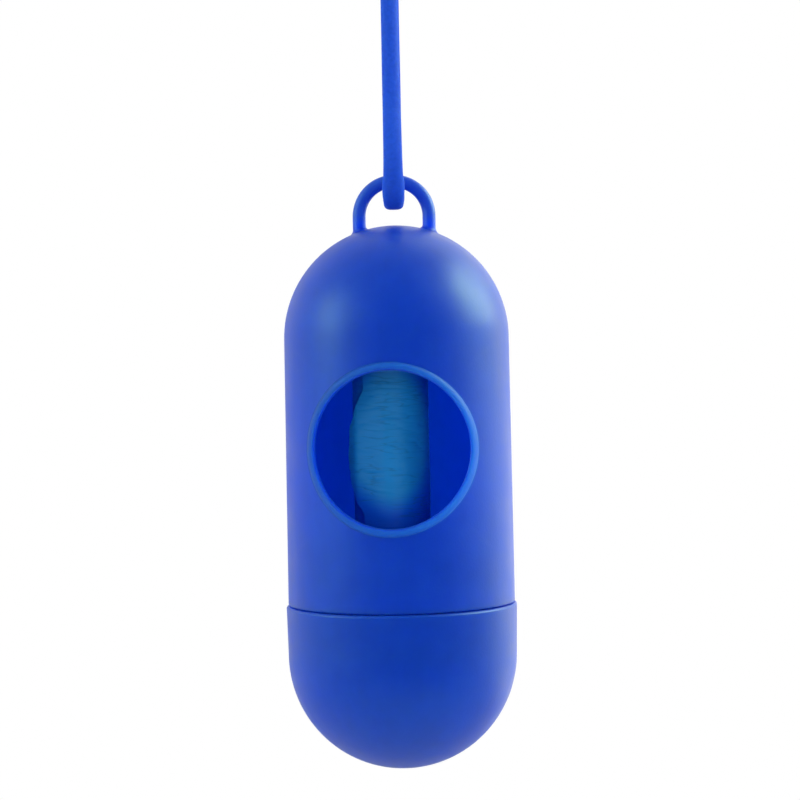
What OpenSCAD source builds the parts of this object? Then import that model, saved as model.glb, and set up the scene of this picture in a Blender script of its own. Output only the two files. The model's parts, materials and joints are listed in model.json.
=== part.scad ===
// Capsule dispenser for a roll of waste bags, hung from a cord loop.
// Millimetres, +Z up, window towards -Y, origin at the hang point inside the top of the cord loop.

/* [Case] */
// Outer radius of the case at its open lower end
case_r = 19.85; // [17:0.05:24]
// How much narrower the case is where the dome begins, for mould release
case_draft = 0.15; // [0:0.05:0.6]
// Height of the straight side, from the seam to the centre of the dome
case_h = 46.35; // [44:0.05:60]
// Wall thickness of the case
case_wall = 1.35; // [1:0.05:2]
// Rounding of the case's lower outer edge
case_edge = 0.3; // [0.1:0.05:0.6]

/* [Window] */
// Radius of the clear opening that the bags are pulled through
window_r = 12.85; // [9:0.05:14]
// Height of the window's centre above the seam
window_h = 27.4; // [22:0.1:30]
// Width of the raised rounded lip round the window
lip_w = 1.7; // [1:0.1:2.5]
// How far the lip stands proud of the case
lip_rise = 0.6; // [0.3:0.05:1]
// Steps that round the lip
lip_steps = 5; // [3:1:7]

/* [Hanging ring] */
// Centre-line radius of the ring on top of the dome
ring_r = 6.23; // [5.2:0.01:8]
// Radius of the ring's round bar
ring_bar_r = 1.07; // [0.8:0.01:1.5]
// Height of the ring's centre above the top of the dome
ring_leg_h = 1.6; // [1:0.1:4]
// Fillet where each leg of the ring meets the dome
ring_fillet = 0.8; // [0.4:0.1:1.2]

/* [Threaded neck] */
// Length of the neck that the cap screws on
neck_h = 7.5; // [5:0.1:8]
// Height of the plain land that centres the cap
land_h = 1.6; // [1:0.1:2.5]
// Radial running clearance between the land and the cap's bore
land_clear = 0.1; // [0.06:0.01:0.2]
// Radial depth of the relief below the land, where the thread stands
thread_room = 0.75; // [0.5:0.05:1]
// Wall thickness of the neck
neck_wall = 1.2; // [0.9:0.05:1.6]
// Height over which the case wall tapers in to the neck
neck_taper = 3; // [1.5:0.1:5]

/* [Cap] */
// How far the cap's rim stands proud of the case
cap_proud = 0.35; // [0:0.05:0.8]
// How much narrower the cap is where its hemisphere begins
cap_draft = 0.2; // [0:0.05:0.5]
// Height of the cap's straight skirt
skirt_h = 8.85; // [8.5:0.05:14]
// Wall thickness of the cap
cap_wall = 1.4; // [1:0.05:2]
// Rounding of the cap's rim
rim_round = 0.4; // [0.2:0.05:0.6]
// Open line between the case and the cap
seam_gap = 0.25; // [0.1:0.05:0.5]

/* [Bag roll] */
// Outer radius of the cardboard core
core_r = 4.6; // [4:0.1:6]
// Wall thickness of the core
core_wall = 0.8; // [0.5:0.1:1.2]
// Length of the core
core_h = 67; // [62:0.5:72]
// Number of bags left on the roll
bag_count = 5; // [2:1:8]
// Thickness of one bag's winding of folded film
film_t = 0.4; // [0.2:0.05:0.6]
// Air between neighbouring windings
film_gap = 0.04; // [0.02:0.01:0.1]
// Running clearance between the core and the first bag
core_clear = 0.08; // [0.05:0.01:0.15]
// Folded width of the film, along the roll
film_w = 66; // [60:0.5:70]
// Uneven ends of the winding, from one bag to the next
film_stagger = 0.25; // [0:0.05:0.5]
// Length of the torn perforation between two bags, as a turn in degrees
perforation = 1.5; // [1:0.5:4]
// How far the loose roll stands to the left of the case's axis
roll_shift = 1.3; // [0:0.1:3]
// Air between the roll and the inside of the cap that it stands in
seat_gap = 0.3; // [0.1:0.05:0.6]

/* [Cord] */
// Diameter of the hanging cord
cord_d = 2.9; // [2.4:0.1:3.2]
// Air between the ring's bar and the cord that carries it
cord_gap = 0.6; // [0.2:0.1:1]
// Height of the sleeve that joins the cord's two ends
sleeve_h = 8; // [6:0.5:10]
// Wall thickness of the sleeve
sleeve_wall = 0.9; // [0.6:0.1:1.4]
// Clearance round the cord in the sleeve
sleeve_clear = 0.05; // [0.02:0.01:0.15]
// Bevel on the sleeve's two ends
sleeve_bevel = 0.4; // [0.2:0.1:0.6]

/* [Hidden] */
$fn = 96;
eps = 0.01;
over = 2;

// Heights, from the hang point down
cord_r = cord_d / 2;
cord_bend_z = -67;
bar_z = cord_bend_z + cord_r + cord_gap + ring_bar_r;
ring_z = bar_z - ring_r;
dome_r = case_r - case_draft;
dome_z = ring_z - ring_leg_h - dome_r;
seam_z = dome_z - case_h;
window_z = seam_z + window_h;
cap_z = seam_z - skirt_h;

// Radii that mate
case_in_r = case_r - case_wall;
dome_in_r = dome_r - case_wall;
rim_r = case_r + cap_proud;
cap_r = rim_r - cap_draft;
cap_in_r = cap_r - cap_wall;
bore_r = rim_r - cap_wall;
land_r = bore_r - land_clear;
neck_r = land_r - thread_room;
neck_in_r = neck_r - neck_wall;
lip_r = window_r + lip_w;

// The roll, seated in the cap's hollow
film_pitch = film_t + film_gap;
first_bag_r = core_r + core_clear;
roll_r = first_bag_r + bag_count * film_pitch;
core_z = cap_z - seat_depth(roll_shift + core_r) + seat_gap;
film_z = cap_z - seat_depth(roll_shift + roll_r) + seat_gap;
turn_steps = 40;

// The sleeve grips two runs of the cord side by side
run_y = 2;
sleeve_z = -28;
sleeve_hole_r = cord_r + sleeve_clear;
sleeve_r = sleeve_hole_r + sleeve_wall;

// Route of the cord's centre line as [y, z], in the plane x = 0
cord_route = [
    [-2, -24.5], [-2, -30], [-2, -38], [-2.1, -46], [-3, -51.3], [-4.1, -53.5],
    [-5.1, -55.7], [-5.8, -58.3], [-6, -61], [-5.2, -64], [-3, -66.2], [0, -67],
    [3, -66.2], [5.2, -64], [6, -61], [5.8, -58.3], [5.1, -55.7],
    [4.1, -53.5], [3, -51.3], [2.1, -46], [2, -38], [2, -30], [2, -20], [2, -18],
    [2.5, -14.5], [4.1, -11.4], [5.8, -8.3], [6.3, -4.8], [5.5, -1.7], [3.2, 0.7], [0, 1.5],
    [-3.2, 0.7], [-5.5, -1.7], [-6.3, -4.8], [-5.8, -8.3], [-4.1, -11.4], [-2.5, -14.5],
    [-2, -18], [-2, -23.5]
];
cord_sides = 8;

blue = [0.08, 0.24, 0.74];
cord_blue = [0.14, 0.3, 0.76];
card = [0.72, 0.6, 0.45];
film = [0.1, 0.44, 0.65];

// How far below the centre of the cap's hollow a disc of this radius comes to rest
function seat_depth(r) = sqrt(cap_in_r * cap_in_r - r * r);

// Unit direction of the cord at point i of its route
function cord_way(i) =
    let (a = cord_route[max(i - 1, 0)], b = cord_route[min(i + 1, len(cord_route) - 1)])
    (b - a) / norm(b - a);

// One ring of corners round the cord at point i
function cord_ring(i) =
    let (p = cord_route[i], t = cord_way(i))
    [for (k = [0 : cord_sides - 1])
        let (a = 360 * k / cord_sides)
        [cord_r * cos(a), p.x - t.y * cord_r * sin(a), p.y + t.x * cord_r * sin(a)]];

// A band of the wound film between two turns of its spiral, in degrees
function spiral(from, to, lift) =
    [for (s = [0 : turn_steps])
        let (a = from + (to - from) * s / turn_steps, r = first_bag_r + film_pitch * a / 360 + lift)
        [r * cos(a), r * sin(a)]];

function backwards(list) = [for (i = [len(list) - 1 : -1 : 0]) list[i]];

// The solid half of a ball, above its centre
module half_ball(r) {
    intersection() {
        sphere(r);
        cylinder(r = r + over, h = r + over);
    }
}

// A cylinder lying along Y from the case's axis out of its front
module window_rod(r) {
    translate([0, 0, window_z])
        rotate([90, 0, 0])
            cylinder(r = r, h = case_r + lip_rise + over);
}

// The straight side of the case, grown all round by some amount
module case_side(grow) {
    translate([0, 0, seam_z])
        cylinder(r1 = case_r + grow, r2 = dome_r + grow, h = case_h);
}

// Rounded lip that follows the curved case, built up in thin layers
module window_lip() {
    for (i = [1 : lip_steps]) {
        a = 90 * i / (lip_steps + 0.5);
        inset = lip_w / 2 * (1 - cos(a));
        intersection() {
            case_side(lip_rise * sin(a));
            difference() {
                window_rod(lip_r - inset);
                window_rod(window_r + inset);
            }
        }
    }
}

// Flare that blends one leg of the ring into the dome
module ring_foot() {
    rotate_extrude()
        polygon([
            [0, -case_wall],
            [ring_bar_r + ring_fillet, -case_wall],
            for (a = [0 : 15 : 90])
                [ring_bar_r + ring_fillet * (1 - sin(a)), ring_fillet * (1 - cos(a))],
            [0, ring_fillet]
        ]);
}

// Round bar bent into an arch, standing on the dome
module hanging_ring() {
    lean = asin(ring_r / dome_r);
    translate([0, 0, ring_z])
        rotate([90, 0, 0])
            rotate_extrude(angle = 180)
                translate([ring_r, 0])
                    circle(ring_bar_r);
    for (side = [-1, 1]) {
        foot_z = dome_z + sqrt(dome_r * dome_r - ring_r * ring_r) - case_wall;
        translate([side * ring_r, 0, foot_z])
            cylinder(r = ring_bar_r, h = ring_z - foot_z);
        translate([0, 0, dome_z])
            rotate([0, side * lean, 0])
                translate([0, 0, dome_r])
                    ring_foot();
    }
}

// Solid of the case's side with its lower edge rounded, and the neck below it
module case_and_neck() {
    translate([0, 0, seam_z])
        rotate_extrude()
            polygon([
                [0, -neck_h],
                [neck_r - case_edge, -neck_h],
                [neck_r, case_edge - neck_h],
                [neck_r, -land_h - thread_room],
                [land_r, -land_h],
                [land_r, 0],
                for (a = [-90 : 15 : 0])
                    [case_r + case_edge * (cos(a) - 1), case_edge * (1 + sin(a))],
                [dome_r, case_h],
                [0, case_h]
            ]);
}

// Hollow of the case and the neck, without the dome's
module case_hollow() {
    translate([0, 0, seam_z])
        rotate_extrude()
            polygon([
                [0, -neck_h - over],
                [neck_in_r, -neck_h - over],
                [neck_in_r, 0],
                [case_in_r, neck_taper],
                [dome_in_r, case_h],
                [0, case_h]
            ]);
}

module upper_shell() {
    color(blue)
        difference() {
            union() {
                case_and_neck();
                translate([0, 0, dome_z])
                    half_ball(dome_r);
                hanging_ring();
                window_lip();
            }
            union() {
                case_hollow();
                translate([0, 0, dome_z])
                    half_ball(dome_in_r);
            }
            window_rod(window_r);
        }
}

module screw_cap() {
    rim_z = skirt_h - seam_gap;
    color(blue)
        translate([0, 0, cap_z])
            difference() {
                union() {
                    rotate_extrude()
                        polygon([
                            [0, 0],
                            [cap_r, 0],
                            for (a = [0 : 15 : 90])
                                [rim_r + rim_round * (cos(a) - 1), rim_z + rim_round * (sin(a) - 1)],
                            [0, rim_z]
                        ]);
                    mirror([0, 0, 1])
                        half_ball(cap_r);
                }
                union() {
                    rotate_extrude()
                        polygon([
                            [0, 0],
                            [cap_in_r, 0],
                            [bore_r, skirt_h - neck_h - case_edge],
                            [bore_r, skirt_h + over],
                            [0, skirt_h + over]
                        ]);
                    mirror([0, 0, 1])
                        half_ball(cap_in_r);
                }
            }
}

module roll_core() {
    color(card)
        translate([-roll_shift, 0, core_z])
            difference() {
                cylinder(r = core_r, h = core_h);
                translate([0, 0, -over])
                    cylinder(r = core_r - core_wall, h = core_h + 2 * over);
            }
}

// Bag number i on the roll, counted from the core: one turn of the spiral of folded film
module bag(i) {
    from = 360 * (i - 1);
    to = 360 * i - perforation;
    color(film)
        translate([-roll_shift, 0, film_z + film_stagger * (i % 2)])
            linear_extrude(film_w - film_stagger)
                polygon(concat(spiral(from, to, 0), backwards(spiral(from, to, film_t))));
}

module hang_cord() {
    rings = len(cord_route);
    color(cord_blue)
        polyhedron(
            points = [for (i = [0 : rings - 1]) each cord_ring(i)],
            faces = [
                [for (k = [0 : cord_sides - 1]) k],
                for (i = [0 : rings - 2], k = [0 : cord_sides - 1])
                    let (a = i * cord_sides + k, b = i * cord_sides + (k + 1) % cord_sides)
                    each [[a, a + cord_sides, b], [b, a + cord_sides, b + cord_sides]],
                [for (k = [cord_sides - 1 : -1 : 0]) (rings - 1) * cord_sides + k]
            ]
        );
}

// Outline of the sleeve, seen along the cord, drawn in by the bevel where asked
module sleeve_outline(inset) {
    for (side = [-1, 1])
        translate([0, side * run_y])
            circle(sleeve_r - inset);
    square([2 * (sleeve_r - inset), 2 * run_y], center = true);
}

module cord_coupler() {
    color(blue)
        translate([0, 0, sleeve_z])
            difference() {
                union() {
                    linear_extrude(sleeve_h)
                        sleeve_outline(sleeve_bevel);
                    translate([0, 0, sleeve_bevel])
                        linear_extrude(sleeve_h - 2 * sleeve_bevel)
                            sleeve_outline(0);
                }
                for (side = [-1, 1])
                    translate([0, side * run_y, -over])
                        cylinder(r = sleeve_hole_r, h = sleeve_h + 2 * over);
            }
}

hang_cord();
cord_coupler();
upper_shell();
screw_cap();
roll_core();
for (i = [1 : bag_count])
    bag(i);
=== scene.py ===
"""Capsule dispenser for a roll of waste bags, hung from a cord loop.

Every length is in metres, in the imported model's frame: the origin is the hang point inside
the top of the cord loop, +Z is up, and the window faces -Y.
"""
import json
import math

import bmesh
import bpy
import numpy as np
from bpy.props import FloatProperty, FloatVectorProperty, PointerProperty
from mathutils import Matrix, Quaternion, Vector


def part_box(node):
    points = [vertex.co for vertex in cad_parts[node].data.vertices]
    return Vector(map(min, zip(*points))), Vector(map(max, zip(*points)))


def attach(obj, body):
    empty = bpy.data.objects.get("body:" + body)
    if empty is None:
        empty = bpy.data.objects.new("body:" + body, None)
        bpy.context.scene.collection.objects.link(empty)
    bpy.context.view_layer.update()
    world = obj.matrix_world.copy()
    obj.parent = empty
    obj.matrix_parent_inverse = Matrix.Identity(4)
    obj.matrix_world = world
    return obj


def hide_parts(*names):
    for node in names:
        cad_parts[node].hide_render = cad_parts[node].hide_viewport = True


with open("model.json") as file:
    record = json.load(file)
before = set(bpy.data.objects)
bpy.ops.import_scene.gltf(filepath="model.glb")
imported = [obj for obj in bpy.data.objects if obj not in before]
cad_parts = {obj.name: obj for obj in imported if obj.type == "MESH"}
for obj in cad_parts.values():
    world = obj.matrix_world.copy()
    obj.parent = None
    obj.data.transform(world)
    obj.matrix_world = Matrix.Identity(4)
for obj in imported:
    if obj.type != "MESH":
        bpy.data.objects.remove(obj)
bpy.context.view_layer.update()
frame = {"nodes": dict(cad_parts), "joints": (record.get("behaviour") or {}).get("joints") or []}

bl_info = {
    "name": "Capsule bag dispenser",
    "version": (1, 0, 0),
    "blender": (4, 5, 0),
    "location": "3D View > Sidebar > Dispenser",
    "description": "Builds the dispenser's pieces, their finishes and a plain studio",
    "category": "Object",
}

MM, FULL_TURN = 0.001, 2 * math.pi
# Attribute of the outer bag that holds the pool of light from the window, painted on its film
PAINTED_LIGHT_ATTRIBUTE = "slack"
# How far the middle of the oval lies over the window's, its angle about the roll, and
# the oval's half height. In this oval the outer bag lies loose with its deepest creases, and
# the pool of light from the window is painted on its film
OVAL_RISE, OVAL_ANGLE, OVAL_HALF = 2.1 * MM, math.radians(-85.7), 13.9 * MM
# Corners closer than this are one
MERGE = 2e-6
# Steps round the capsule, and how many of them the window's cut takes to each side
ROUND, WINDOW_FACES = 128, 21
# Height of the middle of the ring's bar, which the case swings about
BAR_Z = frame["joints"][0]["pos_m"][2]


def size(name, description, millimetres, low=0.0):
    """A length that a user may change, given in millimetres and kept in metres."""
    return FloatProperty(name=name, description=description, default=millimetres * MM,
                         min=low, unit="LENGTH", precision=5)


def turn(name, description, degrees):
    """An angle that a user may change, given in degrees."""
    return FloatProperty(name=name, description=description, default=math.radians(degrees),
                         unit="ROTATION")


def tint(name, description, default):
    """A colour that a user may change, in linear light."""
    return FloatVectorProperty(name=name, description=description, default=default,
                               subtype="COLOR", min=0.0, max=1.0)


class CaseSettings(bpy.types.PropertyGroup):
    """Sizes of the domed case, its window, its ring and its neck"""
    radius: size("Radius", "Outer radius of the case at its open lower end", 19.85)
    draft: size("Draft", "How much narrower the case is where the dome begins", 0.15)
    straight: size("Straight side", "Height from the seam to the centre of the dome", 46.35)
    wall: size("Wall", "Thickness of the wall", 1.35)
    edge: size("Edge", "Rounding of the lower outer edge", 0.3)
    window_radius: size("Window", "Radius of the clear opening", 13.15)
    window_height: size("Window height", "Window's centre above the seam", 27.25)
    lip_width: size("Lip width", "Width of the raised lip round the window", 1.35)
    lip_rise: size("Lip rise", "How far the lip stands proud of the case", 0.65)
    ring_radius: size("Ring radius", "Centre-line radius of the hanging ring", 6.15)
    bar_radius: size("Bar radius", "Radius of the ring's round bar", 1.15)
    leg: size("Ring height", "Ring's centre above the top of the dome", 1.68)
    fillet: size("Fillet", "Flare where each leg of the ring meets the dome", 0.8)
    neck_length: size("Neck length", "Length of the neck inside the cap", 7.5)
    land: size("Land", "Height of the plain land that centres the cap", 1.6)
    land_radius: size("Land radius", "Radius of that land", 18.7)
    neck_radius: size("Neck radius", "Outer radius of the neck at its thread", 17.95)
    neck_bore: size("Neck bore", "Inner radius of the neck", 16.75)
    taper: size("Taper", "Height over which the inside narrows to the neck", 3)


class CapSettings(bpy.types.PropertyGroup):
    """Sizes of the screw cap"""
    rim_radius: size("Rim radius", "Outer radius at the cap's rim", 20.2)
    draft: size("Draft", "How much narrower the cap is where its hemisphere begins", 0.2)
    skirt: size("Skirt", "Height of the straight skirt", 8.85)
    wall: size("Wall", "Thickness of the wall", 1.4)
    rounding: size("Rim rounding", "Rounding of the rim's outer edge", 0.5)
    gap: size("Seam gap", "Open line between the case and the cap", 0.13)
    thread_pitch: size("Thread pitch", "Rise of the thread in one turn", 2.7)
    thread_height: size("Thread height", "How far each thread stands off its wall", 0.36)


class RollSettings(bpy.types.PropertyGroup):
    """Sizes and colours of the roll of bags"""
    shift: size("Shift", "How far the loose roll stands to the left of the axis", 1.3)
    radius: size("Radius", "Outer radius of the roll", 6.88)
    lift: size("Loose edge", "How far the torn edge of the outer bag stands off", 1.2)
    crease: size("Crease depth", "Depth of the deepest creases in the outer bag", 0.32)
    # film is the colour of the pool of light from the window painted on the outer bag, tight its
    # painted shade outside that pool
    film: tint("Slack film", "Colour of the film where it lies slack", (0.013, 0.33, 0.82))
    tight: tint("Tight film", "Colour of the film where it is wound tight", (0.002, 0.14, 1.0))
    card: tint("Card", "Colour of the cardboard core", (0.42, 0.28, 0.16))


class CordSettings(bpy.types.PropertyGroup):
    """Sizes and colour of the hanging cord"""
    diameter: size("Diameter", "Diameter of the cord", 2.9)
    colour: tint("Colour", "Colour of the cord", (0.02, 0.1, 0.66))


class PlasticSettings(bpy.types.PropertyGroup):
    """Finish of the blue plastic"""
    colour: tint("Colour", "Colour of the moulded plastic", (0.004, 0.05, 0.6))
    lip: tint("Lip colour", "Colour of the thin lip, which light passes through",
              (0.008, 0.11, 0.62))
    roughness: FloatProperty(name="Roughness", description="Roughness of the satin surface",
                             default=0.42, min=0.0, max=1.0)


class StageSettings(bpy.types.PropertyGroup):
    """Camera, lamps and floor"""
    distance: size("Distance", "Camera's distance from the capsule's axis", 331)
    height: size("Camera height", "Height of the camera", -102.3, -1.0)
    azimuth: turn("Azimuth", "How far the camera stands to the right", 4.3)
    roll: turn("Roll", "Roll of the camera about its own axis", -1.165)
    aim: size("Aim", "How far right of the axis the camera aims", 0.4)
    lens: FloatProperty(name="Lens", description="Focal length in millimetres", default=84.82)
    floor: size("Floor", "Height of the floor", -320, -1.0)


GROUPS = {
    "dispenser_case": CaseSettings,
    "dispenser_cap": CapSettings,
    "dispenser_roll": RollSettings,
    "dispenser_cord": CordSettings,
    "dispenser_plastic": PlasticSettings,
    "dispenser_stage": StageSettings,
}

# Right half of the cord's loop up to the sleeve, right half of the eye over the sleeve, and
# the route of the whole centre line, as (y, z) in millimetres in the plane x = 0
LOOP = ((3, -66.4), (5.2, -64.1), (6, -61), (5.8, -58.3), (5.1, -55.7), (4.1, -53.5),
        (3, -51.3), (2.1, -46), (2, -38), (2, -30))
EYE = ((2, -18), (2.5, -14.5), (4.1, -11.4), (5.8, -8.3), (6.3, -4.8), (5.5, -1.7), (3.2, 0.7))
CORD_ROUTE = [(-2, -24.5), *((-y, z) for y, z in reversed(LOOP)), (0, -67.2), *LOOP, (2, -20),
              *EYE, (0, 1.5), *((-y, z) for y, z in reversed(EYE)), (-2, -23.5)]
# How far its lower end is turned out of that plane, and the height that it turns at
CORD_TURN, CORD_TURN_Z = math.radians(4.3), -48 * MM


class Levels:
    """Heights of the case and the cap, worked out from their settings"""

    def __init__(self):
        case, cap = bpy.context.scene.dispenser_case, bpy.context.scene.dispenser_cap
        self.ring = BAR_Z - case.ring_radius
        self.dome_radius = case.radius - case.draft
        self.dome = self.ring - case.leg - self.dome_radius
        self.seam = self.dome - case.straight
        self.window = self.seam + case.window_height
        self.cap = self.seam - cap.skirt
        self.inner_dome_radius = self.dome_radius - case.wall
        self.case = case

    def outer(self, z):
        """Outer radius of the case's straight side at height z."""
        return self.case.radius - self.case.draft * (z - self.seam) / self.case.straight

    def inner(self, z):
        """Inner radius of the case's straight side at height z."""
        low = self.case.radius - self.case.wall
        share = (z - self.seam - self.case.taper) / (self.case.straight - self.case.taper)
        return low + (self.inner_dome_radius - low) * share

    def dome_top(self, x, y):
        """Height of the dome's outer surface over a point."""
        return self.dome + math.sqrt(self.dome_radius ** 2 - x * x - y * y)


def clear_selection():
    """Object mode with nothing selected, as every new piece starts."""
    if bpy.context.object and bpy.context.object.mode != "OBJECT":
        bpy.ops.object.mode_set(mode="OBJECT")
    bpy.ops.object.select_all(action="DESELECT")


def select_only(obj):
    """Object mode with one piece selected and active."""
    clear_selection()
    obj.select_set(True)
    bpy.context.view_layer.objects.active = obj


def added(shape, **settings):
    """A new mesh primitive, with nothing else selected."""
    clear_selection()
    getattr(bpy.ops.mesh, f"primitive_{shape}_add")(**settings)
    return bpy.context.active_object


def settle(obj, name, angle=35):
    """Names a finished piece, and gives it its place in its mesh and smooth shading."""
    select_only(obj)
    bpy.ops.object.transform_apply(location=True, rotation=True, scale=True)
    bpy.ops.object.shade_smooth_by_angle(angle=math.radians(angle))
    obj.name = obj.data.name = name
    return obj


def apply_modifier(obj, kind, **settings):
    """Adds a modifier with its settings to a piece and applies it."""
    modifier = obj.modifiers.new(kind, kind)
    for name, value in settings.items():
        setattr(modifier, name, value)
    select_only(obj)
    bpy.ops.object.modifier_apply(modifier=modifier.name)


def combined(obj, other, operation):
    """Adds another piece to a moulding, or cuts it out of it, as one closed surface."""
    apply_modifier(obj, "BOOLEAN", operation=operation, solver="EXACT", object=other)
    bpy.data.objects.remove(other)


def editing(obj, kind):
    """Edit mode with nothing selected, and the mesh to select edges or faces in."""
    bpy.context.view_layer.objects.active = obj
    bpy.ops.object.mode_set(mode="EDIT")
    bpy.ops.mesh.select_mode(type=kind)
    bpy.ops.mesh.select_all(action="DESELECT")
    return bmesh.from_edit_mesh(obj.data)


def merge(obj):
    """Merges the doubles of the whole mesh and turns its faces outwards."""
    bpy.context.view_layer.objects.active = obj
    bpy.ops.object.mode_set(mode="EDIT")
    bpy.ops.mesh.select_all(action="SELECT")
    bpy.ops.mesh.remove_doubles(threshold=MERGE)
    bpy.ops.mesh.normals_make_consistent(inside=False)
    bpy.ops.object.mode_set(mode="OBJECT")
    return obj


def turned(profile):
    """A wall drawn as a line of (radius, height) from axis to axis, and spun round it."""
    profile[0], profile[-1] = (0, profile[0][1]), (0, profile[-1][1])
    obj = added("circle", vertices=len(profile), radius=0.01, fill_type="NOTHING")
    for vertex, (radius, height) in zip(obj.data.vertices, profile):
        vertex.co = (radius, 0, height)
    work, last = editing(obj, "EDGE"), len(profile) - 1
    for edge in work.edges:
        edge.select_set({v.index for v in edge.verts} == {0, last})
    bpy.ops.mesh.delete(type="EDGE")
    bpy.ops.mesh.select_all(action="SELECT")
    bpy.ops.mesh.spin(steps=ROUND, angle=FULL_TURN, center=(0, 0, 0), axis=(0, 0, 1))
    bpy.ops.object.mode_set(mode="OBJECT")
    return merge(obj)


def corners(obj):
    """Places of a mesh's corners as an array of (x, y, z)."""
    flat = np.zeros(len(obj.data.vertices) * 3)
    obj.data.vertices.foreach_get("co", flat)
    return flat.reshape(-1, 3)


def laid(columns, rows, place):
    """A grid laid out by place(u, v), which takes and gives arrays, with u and v from 0 to
    1."""
    obj = added("grid", x_subdivisions=columns, y_subdivisions=rows, size=1)
    u, v = corners(obj)[:, :2].T + 0.5
    obj.data.vertices.foreach_set("co", np.stack(place(u, v), axis=1).ravel())
    obj.data.update()
    return obj


def extruded(obj, key, rings):
    """Extrudes the selected loop of edges ring after ring. Each ring lists its places in the
    order that key gives to the loop's corners."""
    for ring in rings:
        bpy.ops.mesh.extrude_region_move()
        work = bmesh.from_edit_mesh(obj.data)
        loop = sorted((v for v in work.verts if v.select), key=lambda v: key(v.co))
        for corner, place in zip(loop, ring, strict=True):
            corner.co = place
        bmesh.update_edit_mesh(obj.data)


def angle_round(x, z):
    """An angle from 0 to a full turn that no corner of a loop starts at."""
    return (math.atan2(z, x) + 0.005) % FULL_TURN


def frange(start, stop, steps):
    """Evenly spaced numbers from start to stop, both included."""
    return [start + (stop - start) * i / steps for i in range(steps + 1)]


def arc(x, z, radius, start, stop, steps):
    """Points at even steps along an arc about (x, z), between two angles in degrees."""
    turns = [math.radians(a) for a in frange(start, stop, steps)]
    return [(x + radius * math.cos(t), z + radius * math.sin(t)) for t in turns]


def eased(share):
    """A share from 0 to 1 with a soft start and a soft end."""
    return share * share * (3 - 2 * share)


def below(z, height, blend):
    """1 well below a height and 0 well above it, with a blend between."""
    return 1 / (1 + np.exp((z - height) / blend))


# Materials


def fill(node, values):
    """Sets a node's inputs by their names."""
    for name, value in values.items():
        node.inputs[name].default_value = value


class Tree:
    """A node tree with short ways to add the nodes that the materials share"""

    def __init__(self, made):
        self.nodes, self.links = made.nodes, made.links

    def link(self, output, socket):
        """Links an output to an input."""
        self.links.new(output, socket)

    def new(self, kind, **settings):
        """A new shader node with its settings, such as an operation."""
        node = self.nodes.new(f"ShaderNode{kind}")
        for name, value in settings.items():
            setattr(node, name, value)
        return node

    def coordinates(self, scale=(1, 1, 1)):
        """Object coordinates through a Mapping node."""
        place, mapping = self.new("TexCoord"), self.new("Mapping")
        fill(mapping, {"Scale": scale})
        self.link(place.outputs["Object"], mapping.inputs["Vector"])
        return mapping.outputs["Vector"]

    def parts(self, kind="Object"):
        """X, Y and Z of one kind of coordinates."""
        place, split = self.new("TexCoord"), self.new("SeparateXYZ")
        self.link(place.outputs[kind], split.inputs["Vector"])
        return split.outputs

    def distance(self, vector, centre):
        """How far a vector lies from a point."""
        node = self.new("VectorMath", operation="DISTANCE")
        node.inputs[1].default_value = centre
        self.link(vector, node.inputs[0])
        return node.outputs["Value"]

    def noise(self, vector, scale, detail=3.0, roughness=0.55):
        """A noise texture's factor."""
        node = self.new("TexNoise")
        fill(node, {"Scale": scale, "Detail": detail, "Roughness": roughness})
        self.link(vector, node.inputs["Vector"])
        return node.outputs["Fac"]

    def spread(self, value, low, high, to_low=0.0, to_high=1.0):
        """A value mapped from one range to another and held inside it."""
        node = self.new("MapRange")
        fill(node, {"From Min": low, "From Max": high, "To Min": to_low, "To Max": to_high})
        self.link(value, node.inputs["Value"])
        return node.outputs["Result"]

    def reckon(self, operation, a, b):
        """Two values, or a value and a number, through a Math node."""
        node = self.new("Math", operation=operation)
        for socket, given in zip(node.inputs, (a, b)):
            if isinstance(given, (int, float)):
                socket.default_value = given
            else:
                self.link(given, socket)
        return node.outputs["Value"]

    def times(self, a, b):
        """The product of two values, or of a value and a number."""
        return self.reckon("MULTIPLY", a, b)

    def blended(self, factor, first, second):
        """Two colours mixed by a factor."""
        node = self.new("Mix", data_type="RGBA")
        self.link(factor, node.inputs["Factor"])
        for socket, given in (("A", first), ("B", second)):
            target = [i for i in node.inputs if i.name == socket and i.type == "RGBA"][0]
            if isinstance(given, (tuple, list)):
                target.default_value = (*given[:3], 1)
            else:
                self.link(given, target)
        return [o for o in node.outputs if o.type == "RGBA"][0]

    def bumped(self, height, shader, distance, strength=1.0):
        """A Bump node from a height into the shader's Normal."""
        node = self.new("Bump")
        fill(node, {"Distance": distance, "Strength": strength})
        self.link(height, node.inputs["Height"])
        self.link(node.outputs["Normal"], shader.inputs["Normal"])


def plain_material(name):
    """A new material, its tree and its Principled BSDF."""
    made = bpy.data.materials.new(name)
    made.use_nodes = True
    return made, Tree(made.node_tree), made.node_tree.nodes["Principled BSDF"]


def dress(obj, material):
    """The only material of a piece or CAD node."""
    obj.data.materials.clear()
    obj.data.materials.append(material)


def scaled(colour, factor):
    """A colour made lighter or darker, inside 0 to 1."""
    return tuple(min(1.0, c * factor) for c in colour[:3])


# Noise scales of the moulded surface, and how much its flow lines are drawn out upwards
GRAIN, UNEVEN, FLOW, DRAWN_OUT = 2600, 160, 420, 0.12


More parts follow.
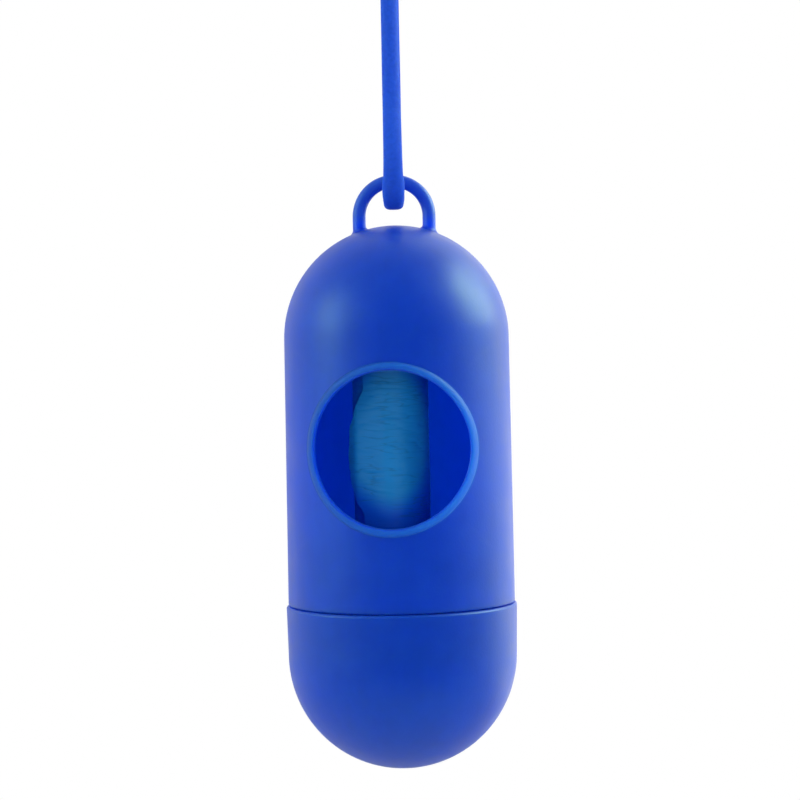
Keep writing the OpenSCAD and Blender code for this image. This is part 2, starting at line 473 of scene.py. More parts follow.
def moulding_group():
    """Node group for moulded plastic: fine grain, slow unevenness and faint flow lines."""
    name = "Moulded surface"
    if name in bpy.data.node_groups:
        return bpy.data.node_groups[name]
    group = bpy.data.node_groups.new(name, "ShaderNodeTree")
    group.interface.new_socket("Vector", in_out="INPUT", socket_type="NodeSocketVector")
    scale = group.interface.new_socket("Scale", in_out="INPUT", socket_type="NodeSocketFloat")
    scale.default_value = 1.0
    tree = Tree(group)
    start, end = group.nodes.new("NodeGroupInput"), group.nodes.new("NodeGroupOutput")
    sized = tree.new("VectorMath", operation="SCALE")
    tree.link(start.outputs["Vector"], sized.inputs[0])
    tree.link(start.outputs["Scale"], sized.inputs["Scale"])
    vector = sized.outputs["Vector"]
    grain, slow = tree.noise(vector, GRAIN, 2), tree.noise(vector, UNEVEN, 2)
    drawn = tree.new("Mapping")
    fill(drawn, {"Scale": (1, 1, DRAWN_OUT)})
    tree.link(vector, drawn.inputs["Vector"])
    flow = tree.noise(drawn.outputs["Vector"], FLOW, 3)
    height = tree.reckon("ADD", tree.times(grain, 0.9), slow)
    for output, value in (("Height", height), ("Unevenness", slow), ("Flow", flow)):
        group.interface.new_socket(output, in_out="OUTPUT", socket_type="NodeSocketFloat")
        tree.link(value, end.inputs[output])
    return group


def round_mask(tree, centre, inner, outer):
    """1 on a ring round an axis along Y, at the front of the case, and 0 elsewhere."""
    far = tree.distance(tree.coordinates((1, 0, 1)), centre)
    mask = tree.times(tree.spread(far, inner + 0.05 * MM, inner + 0.5 * MM),
                      tree.spread(far, outer, outer + 0.25 * MM, 1.0, 0.0))
    front = tree.spread(tree.parts()["Y"], -6 * MM, -4 * MM, 1.0, 0.0)
    return tree.times(mask, front)


def blue_plastic(name, lip=None, ring=None):
    """Satin moulded plastic, a little translucent. lip gives the centre and the two radii of a
    thin lip, which is duller, and painted paler as light passing through it and brighter
    towards the right as light falling from the right. ring gives the height above which the
    bar of the ring is painted paler and less blue, as light passing through the thin bar."""
    plastic = bpy.context.scene.dispenser_plastic
    colour = tuple(plastic.colour)
    made, tree, shader = plain_material(name)
    surface = tree.new("Group", node_tree=moulding_group())
    tree.link(tree.coordinates(), surface.inputs["Vector"])
    uneven = tree.spread(surface.outputs["Unevenness"], 0.3, 0.7)
    flow = tree.spread(surface.outputs["Flow"], 0.35, 0.65)
    tone = tree.blended(uneven, scaled(colour, 0.93), scaled(colour, 1.07))
    tone = tree.blended(tree.times(flow, 0.25), tone, scaled(colour, 1.2))
    rough = tree.reckon("ADD", plastic.roughness - 0.04, tree.times(uneven, 0.08))
    if lip:
        parts = tree.parts()
        mask = round_mask(tree, *lip)
        # Painted light on the lip: paler, as light passing through it, and brighter towards the
        # right, where the light falls
        aside = tree.spread(parts["X"], -12 * MM, 12 * MM)
        pale = tree.blended(aside, scaled(plastic.lip, 0.62), scaled(plastic.lip, 1.12))
        tone = tree.blended(mask, tone, pale)
        rough = tree.reckon("ADD", rough, tree.times(mask, 0.2))
        # Painted light on the ring's thin bar: paler and less blue, as light passing through it
        painted_bar_light = (4 * colour[0], 1.4 * colour[1], 0.7 * colour[2])
        tone = tree.blended(tree.spread(parts["Z"], ring, ring + 2 * MM), tone, painted_bar_light)
    tree.link(tone, shader.inputs["Base Color"])
    tree.link(rough, shader.inputs["Roughness"])
    fill(shader, {"IOR": 1.49, "Specular IOR Level": 0.5,
                  "Specular Tint": (0.46, 1.0, 0.47, 1.0), "Subsurface Weight": 1.0,
                  "Subsurface Radius": (0.3, 0.5, 1.0), "Subsurface Scale": 9 * MM})
    tree.bumped(surface.outputs["Height"], shader, 0.03 * MM, 0.6)
    return made


def film_plastic(name, roll):
    """Thin polythene film with fine wavy creases along the winding. The pool of light from the
    window is painted on it where the piece's attribute is high, painted shade where it is low,
    and painted shade in the creases' valleys."""
    made, tree, shader = plain_material(name)
    stretched = tree.coordinates((0.16, 0.16, 1.3))
    painted_light = tree.new("Attribute", attribute_name=PAINTED_LIGHT_ATTRIBUTE).outputs["Fac"]
    contour = tree.reckon("SUBTRACT", tree.noise(stretched, 620, 2), 0.5)
    valley = tree.spread(tree.reckon("ABSOLUTE", contour, 0), 0.0, 0.03, 1.0, 0.0)
    patch = tree.spread(tree.noise(tree.coordinates(), 130, 2), 0.42, 0.58)
    crease_and_painted_shade = tree.times(valley, patch)
    fine = tree.noise(stretched, 900, 4)
    # Painted light: the lit colour in the oval behind the window, painted shade outside it
    tone = tree.blended(painted_light, tuple(roll.tight), tuple(roll.film))
    # Painted shade darkens the film in the crease valleys, which the bump also sinks
    tone = tree.blended(tree.times(crease_and_painted_shade, 0.3), tone, scaled(roll.film, 0.3))
    tree.link(tone, shader.inputs["Base Color"])
    tree.link(tree.spread(fine, 0.3, 0.7, 0.28, 0.42), shader.inputs["Roughness"])
    fill(shader, {"Specular IOR Level": 0.4, "Sheen Weight": 1.0, "Sheen Roughness": 0.4,
                  "Sheen Tint": (0.02, 0.35, 1.0, 1.0)})
    height = tree.reckon("SUBTRACT", fine, tree.times(crease_and_painted_shade, 0.5))
    tree.bumped(height, shader, 0.06 * MM, 0.8)
    return made


def cardboard(name, colour):
    """Grey-brown card, cloudy and with its fibres."""
    made, tree, shader = plain_material(name)
    vector = tree.coordinates((1, 1, 0.35))
    fibre, cloud = tree.noise(vector, 2200, 5, 0.7), tree.noise(vector, 240, 2)
    tone = tree.blended(tree.spread(fibre, 0.35, 0.7), scaled(colour, 0.72),
                        scaled(colour, 1.3))
    tone = tree.blended(tree.spread(cloud, 0.3, 0.7, 0.0, 0.35), tone, scaled(colour, 0.8))
    tree.link(tone, shader.inputs["Base Color"])
    tree.link(tree.spread(fibre, 0.3, 0.7, 0.8, 0.95), shader.inputs["Roughness"])
    tree.bumped(fibre, shader, 0.06 * MM, 0.8)
    return made


def elastomer(name, colour):
    """Dull, slightly translucent elastomer with a fine grain."""
    made, tree, shader = plain_material(name)
    fine = tree.noise(tree.coordinates(), 1500, 3)
    tone = tree.blended(tree.spread(fine, 0.3, 0.7), scaled(colour, 0.92),
                        scaled(colour, 1.08))
    tree.link(tone, shader.inputs["Base Color"])
    tree.link(tree.spread(fine, 0.3, 0.7, 0.7, 0.78), shader.inputs["Roughness"])
    fill(shader, {"Specular IOR Level": 0.13, "Specular Tint": (0.6, 1.0, 0.5, 1.0),
                  "Subsurface Weight": 1.0, "Subsurface Radius": (0.3, 0.7, 1.0),
                  "Subsurface Scale": 0.45 * MM})
    tree.bumped(fine, shader, 0.02 * MM, 0.5)
    return made


# Stage


# Point on the capsule's axis that the lamps face
MIDDLE = Vector((0, 0, -0.11))
# Name, way from the capsule, distance, width, watts, and whether it shows in gloss or lights
# matt surfaces instead
LAMPS = (
    ("Key", (0.85, 0.19, 0.5), 0.6, 0.4, 4.4, True),
    ("Fill", (-0.867, -0.366, 0.346), 0.6, 0.34, 1.6, True),
    ("Left wash", (-0.9, -0.4, 0.3), 0.7, 0.5, 2.6, False),
    ("Right wash", (0.9, -0.35, 0.25), 0.7, 0.5, 3.1, False),
    ("Front left wash", (-0.5, -1.0, 0.0), 0.8, 0.4, 1.12, False),
    ("Front right wash", (0.4, -1.0, 0.0), 0.8, 0.4, 1.04, False),
    ("Top wash", (0.0, -0.35, 1.0), 0.8, 0.5, 1.0, False),
)
# How bright the room is on each side, against how far back: -1 is behind the camera
ROOM_LEFT = ((-0.94, 0.04), (-0.76, 0.17), (-0.5, 0.3), (0.1, 0.5), (0.6, 0.6), (0.95, 0.45))
ROOM_RIGHT = ((-0.75, 0.03), (-0.44, 0.14), (-0.05, 0.36), (0.2, 0.86), (0.55, 1.5),
              (0.95, 0.95))
ROOM_STRENGTH, ROOM_ABOVE, ROOM_BELOW = 1.75, 1.15, 0.13
# Share of the room's light that matt surfaces get
ROOM_SOFT = 0.575
FLOOR_RADIUS = 0.5
# Distances from its middle at which the floor begins to fade and is gone
FLOOR_FADE = (0.18, 0.48)


def room_side(tree, value, stops):
    """Brightness of one side of the room, by a ramp over how far back it lies."""
    ramp = tree.new("ValToRGB")
    tree.link(tree.spread(value, -1, 1), ramp.inputs["Fac"])
    points = ramp.color_ramp.elements
    while len(points) < len(stops):
        points.new(0.5)
    for point, (back, grey) in zip(points, stops):
        point.position = (back + 1) / 2
    for point, (back, grey) in zip(points, stops):
        point.color = (grey, grey, grey, 1)
    return ramp.outputs["Color"]


def surroundings():
    """A studio with white walls at both sides, dim behind the camera, above and below. The
    camera itself sees plain white."""
    world = bpy.data.worlds.new("Studio")
    world.use_nodes = True
    tree = Tree(world.node_tree)
    light = tree.nodes["Background"]
    parts = tree.parts("Generated")
    sides = tree.blended(tree.spread(parts["X"], -0.25, 0.25),
                         room_side(tree, parts["Y"], ROOM_LEFT),
                         room_side(tree, parts["Y"], ROOM_RIGHT))
    tree.link(sides, light.inputs["Color"])
    above = tree.spread(parts["Z"], 0.4, 0.95, ROOM_STRENGTH, ROOM_ABOVE)
    under = tree.spread(parts["Z"], -0.95, -0.2, ROOM_BELOW, ROOM_STRENGTH)
    level = tree.reckon("MINIMUM", above, under)
    backdrop = tree.new("Background")
    fill(backdrop, {"Color": (1, 1, 1, 1)})
    rays, choice = tree.new("LightPath"), tree.new("MixShader")
    soft = tree.spread(rays.outputs["Is Glossy Ray"], 0, 1, ROOM_SOFT, 1)
    tree.link(tree.times(level, soft), light.inputs["Strength"])
    tree.link(rays.outputs["Is Camera Ray"], choice.inputs["Fac"])
    tree.link(light.outputs["Background"], choice.inputs[1])
    tree.link(backdrop.outputs["Background"], choice.inputs[2])
    tree.link(choice.outputs["Shader"], tree.nodes["World Output"].inputs["Surface"])
    return world


def set_camera(scene, stage):
    """The camera, level with a point on the capsule's axis."""
    aside, away = math.sin(stage.azimuth), -math.cos(stage.azimuth)
    place = Vector((stage.distance * aside, stage.distance * away, stage.height))
    aim = Vector((-away * stage.aim, aside * stage.aim, stage.height))
    camera = bpy.data.objects.new("Camera", bpy.data.cameras.new("Camera"))
    scene.collection.objects.link(camera)
    camera.location = place
    camera.rotation_mode = "QUATERNION"
    camera.rotation_quaternion = ((aim - place).to_track_quat("-Z", "Y")
                                  @ Quaternion((0, 0, 1), stage.roll))
    camera.data.lens = stage.lens
    camera.data.sensor_width = 36
    camera.data.clip_start, camera.data.clip_end = 0.01, 20
    scene.camera = camera


def hang_lamps(scene):
    """The square lamps, all turned to the capsule."""
    for name, way, distance, wide, power, glossy in LAMPS:
        lamp = bpy.data.lights.new(name, "AREA")
        lamp.shape, lamp.size, lamp.energy = "SQUARE", wide, power
        holder = bpy.data.objects.new(name, lamp)
        scene.collection.objects.link(holder)
        holder.visible_diffuse, holder.visible_glossy = not glossy, glossy
        holder.location = MIDDLE + Vector(way).normalized() * distance
        holder.rotation_mode = "QUATERNION"
        holder.rotation_quaternion = (MIDDLE - holder.location).to_track_quat("-Z", "Y")


def lay_floor(height):
    """A pale round floor that fades out towards its edge and is clear from beneath."""
    floor = added("circle", vertices=96, radius=FLOOR_RADIUS, fill_type="NGON",
                  location=(0, 0, height))
    settle(floor, "Floor")
    made, tree, shader = plain_material("Pale floor")
    fill(shader, {"Base Color": (0.7, 0.7, 0.7, 1), "Roughness": 0.8})
    place = tree.new("TexCoord")
    far = tree.distance(place.outputs["Object"], (0, 0, height))
    clear, side = tree.new("BsdfTransparent"), tree.new("NewGeometry")
    over = tree.new("MixShader")
    fade = tree.reckon("MAXIMUM", tree.spread(far, *FLOOR_FADE), side.outputs["Backfacing"])
    tree.link(fade, over.inputs["Fac"])
    tree.link(shader.outputs["BSDF"], over.inputs[1])
    tree.link(clear.outputs["BSDF"], over.inputs[2])
    tree.link(over.outputs["Shader"], tree.nodes["Material Output"].inputs["Surface"])
    dress(floor, made)


class DISPENSER_OT_stage(bpy.types.Operator):
    """Set up the camera, the lamps, the surroundings and the floor"""
    bl_idname = "dispenser.stage"
    bl_label = "Stage"

    def execute(self, context):
        scene, stage = context.scene, context.scene.dispenser_stage
        scene.view_settings.view_transform = "Standard"
        set_camera(scene, stage)
        hang_lamps(scene)
        scene.world = surroundings()
        lay_floor(stage.floor)
        return {"FINISHED"}


# Pieces


def sleeve(low, high, run, bore):
    """Stadium-shaped sleeve with rounded ends, a shallow waist and a bore for each run of the
    cord, at the distance run to each side of the middle."""
    radius = (high.x - low.x) / 2
    middle, half = (low.z + high.z) / 2, (high.z - low.z) / 2
    rounding, waist, waist_reach = 0.7 * MM, 0.18 * MM, 1.1 * MM
    columns, rows = 64, 60
    # Shares of the rows, from the middle out, where the side and the rounded corner end
    side_end, corner_end = 0.6, 0.9

    def place(u, v):
        turn = FULL_TURN * (u + 0.25 + 0.5 / columns)
        level = np.clip(np.abs(v - 0.5) * 2, 0, 1)
        corner = np.clip((level - side_end) / (corner_end - side_end), 0, 1) * math.pi / 2
        face = np.clip((level - corner_end) / (1 - corner_end), 0, 1)
        inset = rounding * (1 - np.cos(corner)) + (radius - rounding) * face
        rise = (np.minimum(level / side_end, 1) * (half - rounding)
                + rounding * np.sin(corner))
        reach = radius - inset - waist * np.exp(-(rise / waist_reach) ** 2)
        side = np.where(np.sin(turn) >= 0, run, -run)
        return (reach * np.cos(turn), side * (1 - face) + reach * np.sin(turn),
                middle + np.sign(v - 0.5) * rise)

    obj = merge(laid(columns, rows, place))
    for way in (-run, run):
        drill = added("cylinder", vertices=48, radius=bore, depth=half * 3,
                      location=(0, way, middle))
        combined(obj, drill, "DIFFERENCE")
    return settle(obj, "sleeve")


class DISPENSER_OT_sleeve(bpy.types.Operator):
    """Mould the small sleeve that grips the cord's two ends"""
    bl_idname = "dispenser.sleeve"
    bl_label = "Sleeve"

    def execute(self, context):
        low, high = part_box("cord_coupler")
        obj = sleeve(low, high, 2 * MM, 1.5 * MM)
        dress(obj, blue_plastic("Sleeve plastic"))
        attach(obj, "strap")
        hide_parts("cord_coupler")
        return {"FINISHED"}


def centre_line(steps=8):
    """The cord's centre line as an array of (x, y, z) in metres, smooth through its route. Its
    lower end hangs a few degrees out of the plane of the ring's axis."""
    route = np.array(CORD_ROUTE) * MM
    ends = np.vstack([2 * route[0] - route[1], route, 2 * route[-1] - route[-2]])
    share = np.linspace(0, 1, steps, endpoint=False)[:, None]
    runs = [0.5 * (2 * b + (c - a) * share + (2 * a - 5 * b + 4 * c - d) * share ** 2
                   + (3 * b - a - 3 * c + d) * share ** 3)
            for a, b, c, d in zip(ends, ends[1:], ends[2:], ends[3:])]
    y, z = np.vstack([*runs, route[-1:]]).T
    turned_by = math.tan(CORD_TURN) * below(z, CORD_TURN_Z, 2 * MM)
    return np.stack([-y * turned_by, y, z], axis=1)


def soft_tube(line, radius):
    """A tube along a line, closed at both ends. It is round at the top, a little flat lower
    down, wider in its bend and at the ring's bar, and thick and squarer under the bar."""
    along = np.gradient(line[:, 1:], axis=0)
    along /= np.linalg.norm(along, axis=1)[:, None]
    height = line[:, 2] - BAR_Z
    flat = below(height, 16 * MM, 3 * MM)
    bend = below(height, 1 * MM, 1.5 * MM)
    under = below(height, -1.6 * MM, 0.5 * MM)
    bar = np.exp(-((height + 1.5 * MM) / (1.4 * MM)) ** 4)
    wide = 1 + 0.12 * (flat + bend + bar)
    thick = 1 - 0.06 * flat + 0.22 * under
    square = 1 - 0.4 * under
    rows = len(line) + 1

    def place(u, v):
        step = np.rint(v * rows).astype(int)
        spot = np.clip(step - 1, 0, len(line) - 1)
        reach = np.where((step == 0) | (step == rows), 0.0, radius)
        aside, out = (np.sign(way) * np.abs(way) ** square[spot] * reach * stretch[spot]
                      for way, stretch in ((np.cos(FULL_TURN * u), wide),
                                           (np.sin(FULL_TURN * u), thick)))
        return (line[spot, 0] + aside, line[spot, 1] - along[spot, 1] * out,
                line[spot, 2] + along[spot, 0] * out)

    return settle(merge(laid(32, rows, place)), "cord", 60)


class DISPENSER_OT_cord(bpy.types.Operator):
    """Run the round cord through the hanging ring and back into its sleeve"""
    bl_idname = "dispenser.cord"
    bl_label = "Cord"

    def execute(self, context):
        cord = context.scene.dispenser_cord
        line = centre_line()
        obj = soft_tube(line, cord.diameter / 2)
        dress(obj, elastomer("Cord elastomer", cord.colour))
        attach(obj, "strap")
        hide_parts("hang_cord")
        return {"FINISHED"}


def case_profile(case, at):
    """Line of the case's wall from the top of the dome, down outside, round the neck and up
    inside to the dome's inner top, with the heights of the band that the window is cut in."""
    half = case.window_radius + case.lip_width + 3 * MM
    band = frange(at.window + half, at.window - half, 32)
    low, foot = at.seam + case.edge, at.seam - case.neck_length
    land_foot, step = at.seam - case.land, 0.05 * MM
    neck_top = land_foot - (case.land_radius - case.neck_radius)
    line = arc(0, at.dome, at.dome_radius, 90, 0, 32)
    line += [(at.outer(z), z) for z in band + frange(band[-1], low + 3 * step, 6)[1:]]
    line += arc(case.radius - case.edge, low, case.edge, 0, -90, 6)
    line += [(case.land_radius + step, at.seam), (case.land_radius, at.seam - step),
             (case.land_radius, land_foot)]
    line += [(case.neck_radius, z) for z in frange(neck_top, foot + case.edge, 4)]
    line += arc(case.neck_radius - case.edge, foot + case.edge, case.edge, 0, -90, 4)[1:]
    line += arc(case.neck_bore + case.edge, foot + case.edge, case.edge, -90, -180, 4)
    line += [(case.neck_bore, z) for z in frange(foot + case.edge, at.seam, 4)[1:]]
    line += [(at.inner(z), z) for z in frange(at.seam + case.taper, band[-1], 5)]
    line += [(at.inner(z), z) for z in reversed(band[:-1])]
    return line + arc(0, at.dome, at.inner_dome_radius, 0, 90, 28), band


def lip_section(case):
    """Rounded section of the lip from its foot on the case to the edge of the bore, as
    (distance from the window's axis, rise)."""
    outer, inner, rise = case.window_radius + case.lip_width, case.window_radius, case.lip_rise
    flat = [(reach, rise) for reach in frange(outer - rise, inner + rise, 3)[1:-1]]
    return (arc(outer - rise, 0, rise, 0, 90, 10)[1:] + flat
            + arc(inner + rise, 0, rise, 90, 180, 10))


def cut_window(obj, case, at, band):
    """Cuts the window through both walls and grows its lip and bore from the cut edges."""
    widest = FULL_TURN * WINDOW_FACES / ROUND
    work = editing(obj, "FACE")
    for face in work.faces:
        x, y, z = face.calc_center_median()
        face.select_set(y < 0 and abs(math.atan2(x, -y)) < widest and band[-1] < z < band[0])
    bpy.ops.mesh.delete(type="FACE")
    work = editing(obj, "EDGE")
    middle = (at.outer(at.window) + at.inner(at.window)) / 2

    def key(co):
        return angle_round(co.x, co.z - at.window)

    def loop(edges):
        """Places of the corners of a loop of edges, in their order round the window."""
        return sorted(({v: v.co.copy() for e in edges for v in e.verts}).values(), key=key)

    open_edges = [e for e in work.edges if e.is_boundary]
    outside = [e for e in open_edges if math.hypot(*e.verts[0].co.xy) > middle]
    around, inside = loop(outside), loop([e for e in open_edges if e not in outside])
    for edge in outside:
        edge.select_set(True)
    ways = [math.atan2(p.z - at.window, p.x) for p in around]

    def on_wall(x, z, radius):
        return Vector((x, -math.sqrt(radius * radius - x * x), z))

    def ring(reach, radius, rise=0.0):
        """Places at one distance from the window's axis, on a wall raised by rise."""
        spots = [(reach * math.cos(a), at.window + reach * math.sin(a)) for a in ways]
        return [on_wall(x, z, radius(z) + rise) for x, z in spots]

    def between(start, end, shares, radius):
        """Rings on a wall at shares of the way from one loop to another."""
        for share in shares:
            flat = [a.lerp(b, share) for a, b in zip(start, end)]
            rings.append([on_wall(p.x, p.z, radius(p.z)) for p in flat])

    rings, rounding = [], 0.25 * MM
    between(around, ring(case.window_radius + case.lip_width, at.outer),
            (0.2, 0.4, 0.6, 0.78, 0.92, 1.0), at.outer)
    for reach, rise in lip_section(case):
        rings.append(ring(reach, at.outer, rise))
    for share in (0.3, 0.7):
        rings.append(ring(case.window_radius, lambda z, t=share:
                          at.outer(z) + (at.inner(z) + rounding - at.outer(z)) * t))
    for reach, rise in arc(case.window_radius + rounding, rounding, rounding, 180, 270, 4):
        rings.append(ring(reach, at.inner, rise))
    between(rings[-1], inside, (0.06, 0.2, 0.4, 0.6, 0.8), at.inner)
    rings.append(inside)
    extruded(obj, key, rings)
    bpy.ops.object.mode_set(mode="OBJECT")


def hanging_ring(case, at):
    """Round bar spun into an arch, its two legs drawn down and flared on the dome."""
    count, sunk = 28, 0.25 * MM
    obj = added("circle", vertices=count, radius=case.bar_radius, fill_type="NOTHING",
                location=(case.ring_radius, 0, at.ring))
    bpy.ops.object.transform_apply(location=True, rotation=True, scale=True)
    bpy.ops.object.mode_set(mode="EDIT")
    bpy.ops.mesh.select_all(action="SELECT")
    bpy.ops.mesh.spin(steps=60, angle=math.pi, center=(0, 0, at.ring), axis=(0, 1, 0))
    turns = [FULL_TURN * i / count for i in range(count)]
    flare = arc(case.bar_radius + case.fillet, case.fillet, case.fillet, 180, 270, 7)
    for centre in (-case.ring_radius, case.ring_radius):
        work = editing(obj, "EDGE")
        for edge in work.edges:
            edge.select_set(edge.is_boundary and edge.verts[0].co.x * centre > 0)

        def ring(radius, height):
            spots = [(centre + radius * math.cos(a), radius * math.sin(a)) for a in turns]
            return [Vector((x, y, at.dome_top(x, y) + height)) for x, y in spots]

        rings = [ring(case.bar_radius, case.fillet * 1.6)]
        rings += [ring(radius, height) for radius, height in flare]
        rings.append(ring(case.bar_radius + case.fillet, -sunk))
        extruded(obj, lambda co: angle_round(co.x - centre, co.y), rings)
        bpy.ops.mesh.edge_face_add()
    bpy.ops.object.mode_set(mode="OBJECT")
    return merge(obj)


def thread(wall, height, low, pitch, turns):
    """Rounded ridge wound round a wall, sunk into it at its foot and at both ends. A negative
    height stands inwards."""
    sunk = -0.3 * math.copysign(MM, height)
    half_width, run_out = 0.55 * MM, 0.2

    def place(u, v):
        angle = FULL_TURN * turns * u
        ends = eased(np.clip(np.minimum(u, 1 - u) * turns / run_out, 0, 1))
        across = np.clip((v - 0.5) * 1.25, -0.5, 0.5)
        foot = (v < 1e-6) | (v > 1 - 1e-6)
        crown = height * np.cos(across * math.pi) ** 0.6 * ends + sunk * (1 - ends)
        radius = wall + np.where(foot, sunk, crown)
        z = low + pitch * turns * u + np.where(foot, 0, half_width) * ends * across * 2
        return radius * np.cos(angle), radius * np.sin(angle), z

    return merge(laid(int(96 * turns), 12, place))


class DISPENSER_OT_case(bpy.types.Operator):
    """Turn the domed case, cut its lipped window and stand the ring on it"""
    bl_idname = "dispenser.case"
    bl_label = "Case"

    def execute(self, context):
        case, cap, at = context.scene.dispenser_case, context.scene.dispenser_cap, Levels()
        line, band = case_profile(case, at)
        obj = turned(line)
        cut_window(obj, case, at, band)
        merge(obj)
        ridge = thread(case.neck_radius, cap.thread_height, at.seam - 6.6 * MM,
                       cap.thread_pitch, 1.4)
        for part in (hanging_ring(case, at), ridge):
            combined(obj, part, "UNION")
        settle(obj, "domed_body")
        lip = ((0, 0, at.window), case.window_radius, case.window_radius + case.lip_width)
        dress(obj, blue_plastic("Body plastic", lip, at.dome + at.dome_radius))
        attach(obj, "case")
        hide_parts("upper_shell")
        return {"FINISHED"}


def cap_profile(case, cap, at):
    """Line of the cap's wall from its bottom, up outside, over the rim and down inside."""
    outer = cap.rim_radius - cap.draft
    inner, bore = outer - cap.wall, cap.rim_radius - cap.wall
    top, rounding, inner_rounding = at.seam - cap.gap, cap.rounding, 0.12 * MM
    step = at.seam - case.neck_length - case.edge
    line = arc(0, at.cap, outer, -90, 0, 36)
    line += [(outer + cap.draft * (z - at.cap) / (top - at.cap), z)
             for z in frange(at.cap, top - rounding - inner_rounding, 7)[1:]]
    line += arc(cap.rim_radius - rounding, top - rounding, rounding, 0, 90, 7)
    line += arc(bore + inner_rounding, top - inner_rounding, inner_rounding, 90, 180, 3)
    line += [(bore, z) for z in frange(top - inner_rounding, step, 6)[1:]]
    return line + arc(0, at.cap, inner, 0, -90, 30)


class DISPENSER_OT_cap(bpy.types.Operator):
    """Turn the screw cap and wind the thread inside it"""
    bl_idname = "dispenser.cap"
    bl_label = "Cap"

    def execute(self, context):
        case, cap, at = context.scene.dispenser_case, context.scene.dispenser_cap, Levels()
        obj = turned(cap_profile(case, cap, at))
        ridge = thread(cap.rim_radius - cap.wall, -0.3 * MM, at.seam - 5.6 * MM,
                       cap.thread_pitch, 1.2)
        combined(obj, ridge, "UNION")
        settle(obj, "cap")
        dress(obj, blue_plastic("Cap plastic"))
        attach(obj, "cap")
        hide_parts("screw_cap")
        return {"FINISHED"}


def soft_noise(columns, rows, seed):
    """A smooth random field over the unit square, from -1 to 1, that repeats along its
    first axis."""
    grid = np.random.default_rng(seed).uniform(-1, 1, (columns, rows + 3))

    def field(u, v):
        x, y = np.mod(u, 1) * columns, np.clip(v, 0, 1) * rows
        i, j = np.floor(x).astype(int), np.floor(y).astype(int)
        fx, fy = eased(x - i), eased(y - j)
        a, b = grid[i % columns, j], grid[(i + 1) % columns, j]
        c, d = grid[i % columns, j + 1], grid[(i + 1) % columns, j + 1]
        return (a * (1 - fx) + b * fx) * (1 - fy) + (c * (1 - fx) + d * fx) * fy

    return field


def slack(angle, z, window):
    """An oval behind the window, 1 in its middle and 0 outside, where the outer bag is wound
    tight. In it the bag lies loose with its deepest creases, and the pool of light from the
    window is painted on its film."""
    # Half widths to the left and right, as the sine of the angle, and the soft rim's place
    left, right, rim, soft = 1.3, 1.2, 1.05, 0.35
    off = angle - OVAL_ANGLE
    across = np.where(np.cos(off) > 0, np.sin(off), 1)
    across = np.where(across < 0, -across / left, across / right)
    reach = np.hypot(across, (z - window - OVAL_RISE) / OVAL_HALF)
    return eased(np.clip((rim - reach) / soft, 0, 1))


def creases(turn, rise):
    """Fine creases along the winding with sharp valleys, deepest in patches. From -1 to 0."""
    total = np.zeros_like(turn)
    for columns, rows, weight, seed in ((9, 60, 0.6, 3), (13, 86, 0.4, 5)):
        tilt = 0.03 * soft_noise(3, 5, seed + 20)(turn, rise)
        valley = 1 - np.abs(soft_noise(columns, rows, seed)(turn, rise + tilt)) / 0.3
        patch = 0.5 + 0.5 * soft_noise(4, 6, seed + 40)(turn, rise)
        total -= weight * np.clip(valley, 0, 1) ** 1.5 * np.clip(patch, 0.1, 1)
    return total


def film_wall(obj, name):
    """Gives a wound sheet the thickness of film."""
    apply_modifier(obj, "SOLIDIFY", thickness=0.05 * MM, offset=-1)
    return settle(obj, name, 60)


def next_bag(roll, low, high):
    """The bag under the outermost one, wound tight over one turn."""
    turns, inward, step, uneven, ragged = 1.04, 0.41 * MM, 0.06 * MM, 0.02 * MM, 0.12 * MM

    def place(u, v):
        turn = u * turns
        angle = FULL_TURN * turn
        radius = (roll.radius - inward + uneven * soft_noise(9, 60, 90)(turn, v)
                  - step * turn)
        z = low + (high - low) * v + ragged * soft_noise(7, 1, 91)(turn, v * 0) * (1 - 2 * v)
        return -roll.shift + radius * np.cos(angle), radius * np.sin(angle), z

    return film_wall(laid(96, 150, place), "next_bag")


def outer_bag(roll, low, high, window):
    """The outermost bag, wound a little over one turn. Its torn edge stands off as a flap,
    widest behind the window, where the last bag was pulled from."""
    turns, inward, step, ragged = 1.12, 0.12 * MM, 0.2 * MM, 0.12 * MM
    top = high - 0.05 * MM
    # Angles of the torn edge, of its draw towards the window and of where the flap lifts off,
    # and how far the loose film is set back from the oval where the pool of light is painted
    edge_angle, draw, detach, set_back = (math.radians(a) for a in (238, 25, 256, 14))

    def place(u, v):
        turn = u * turns
        ends = ragged * soft_noise(9, 1, 75)(turn, v * 0) * (2 * v - 1)
        z = low + (top - low) * v - ends
        drawn = np.exp(-((z - window + 1 * MM) / (9.5 * MM)) ** 4)
        torn = soft_noise(8, 40, 70)(u * 0, v) * 0.03 + soft_noise(5, 9, 71)(u * 0, v) * 0.08
        angle = edge_angle - draw * drawn + torn + FULL_TURN * turn
        along = turn * FULL_TURN * roll.radius
        away = np.clip(detach - angle, 0, 0.78)
        flap = np.minimum(roll.radius * (1 / np.cos(away) - 1), roll.lift)
        loose = flap * (0.3 + 0.7 * drawn) + 0.15 * MM * np.exp(-along / (1.2 * MM))
        radius = roll.radius - inward - step * turn + loose
        behind = slack(angle - set_back, z, window)
        radius += roll.crease * creases(turn / turns, v) * (0.15 + 0.85 * behind)
        radius += 0.08 * MM * soft_noise(5, 7, 61)(turn, v)
        radius += 0.25 * MM * np.exp(-(1 - v) * (top - low) / (0.35 * MM))
        return -roll.shift + radius * np.cos(angle), radius * np.sin(angle), z

    obj = film_wall(laid(124, 376, place), "outer_bag")
    x, y, z = corners(obj).T
    # This attribute holds the pool of light from the window that the film material paints on the
    # bag
    loose = obj.data.attributes.new(PAINTED_LIGHT_ATTRIBUTE, "FLOAT", "POINT")
    loose.data.foreach_set("value", slack(np.arctan2(y, x + roll.shift), z, window))
    return obj


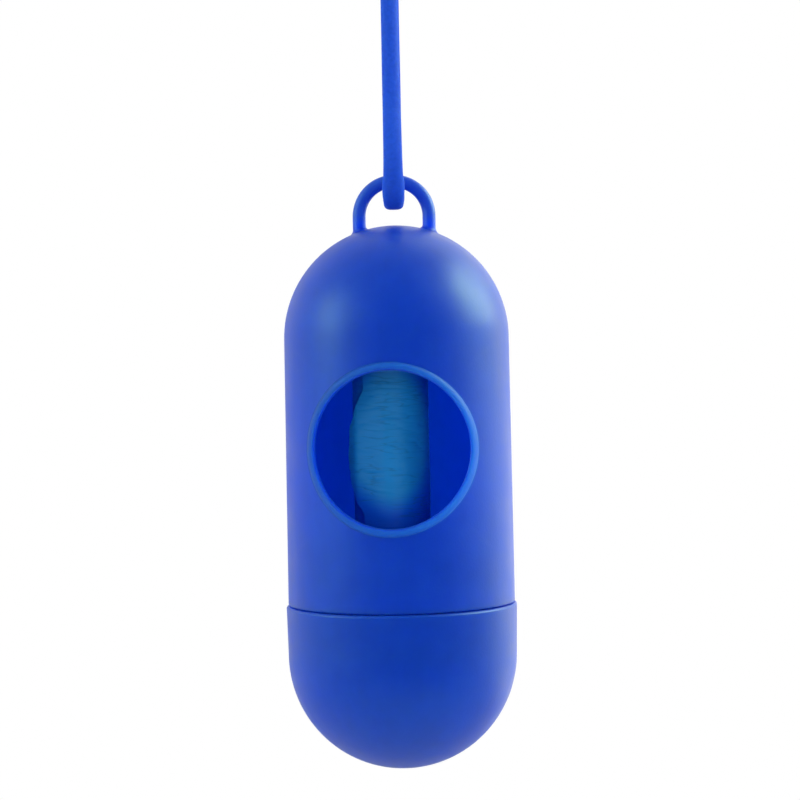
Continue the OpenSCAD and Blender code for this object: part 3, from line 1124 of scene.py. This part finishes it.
class DISPENSER_OT_roll(bpy.types.Operator):
    """Wind the creased outer bag round the roll, and finish the bags under it and the core"""
    bl_idname = "dispenser.roll"
    bl_label = "Roll of bags"

    def execute(self, context):
        roll = context.scene.dispenser_roll
        film = film_plastic("Bag film", roll)
        low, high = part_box("bag_5")
        outer = outer_bag(roll, low.z, high.z, Levels().window)
        low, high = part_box("bag_4")
        under = next_bag(roll, low.z + 0.2 * MM, high.z - 0.2 * MM)
        for obj, node in ((outer, "bag_5"), (under, "bag_4")):
            dress(obj, film)
            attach(obj, "bags")
            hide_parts(node)
        for name, node in frame["nodes"].items():
            if name.startswith("bag_"):
                dress(node, film)
        dress(frame["nodes"]["roll_core"], cardboard("Core card", roll.card))
        return {"FINISHED"}


class DISPENSER_PT_panel(bpy.types.Panel):
    """The dispenser's settings and build steps"""
    bl_label = "Dispenser"
    bl_idname = "DISPENSER_PT_panel"
    bl_space_type = "VIEW_3D"
    bl_region_type = "UI"
    bl_category = "Dispenser"

    def draw(self, context):
        layout = self.layout
        for step in STEPS:
            layout.operator(step.bl_idname)
        for attribute, group in GROUPS.items():
            box = layout.box()
            box.label(text=group.bl_rna.description)
            settings = getattr(context.scene, attribute)
            for name in group.__annotations__:
                box.prop(settings, name)


STEPS = (DISPENSER_OT_stage, DISPENSER_OT_sleeve, DISPENSER_OT_cord, DISPENSER_OT_case,
         DISPENSER_OT_cap, DISPENSER_OT_roll)


def register():
    """Registers the settings, the build steps and the panel."""
    for attribute, group in GROUPS.items():
        bpy.utils.register_class(group)
        setattr(bpy.types.Scene, attribute, PointerProperty(type=group))
    for step in (*STEPS, DISPENSER_PT_panel):
        bpy.utils.register_class(step)


def unregister():
    """Takes all of them away again."""
    for step in (DISPENSER_PT_panel, *reversed(STEPS)):
        bpy.utils.unregister_class(step)
    for attribute, group in GROUPS.items():
        delattr(bpy.types.Scene, attribute)
        bpy.utils.unregister_class(group)


def main():
    """Builds everything in order."""
    register()
    for step in STEPS:
        area, name = step.bl_idname.split(".")
        getattr(getattr(bpy.ops, area), name)()


if __name__ == "__main__":
    main()
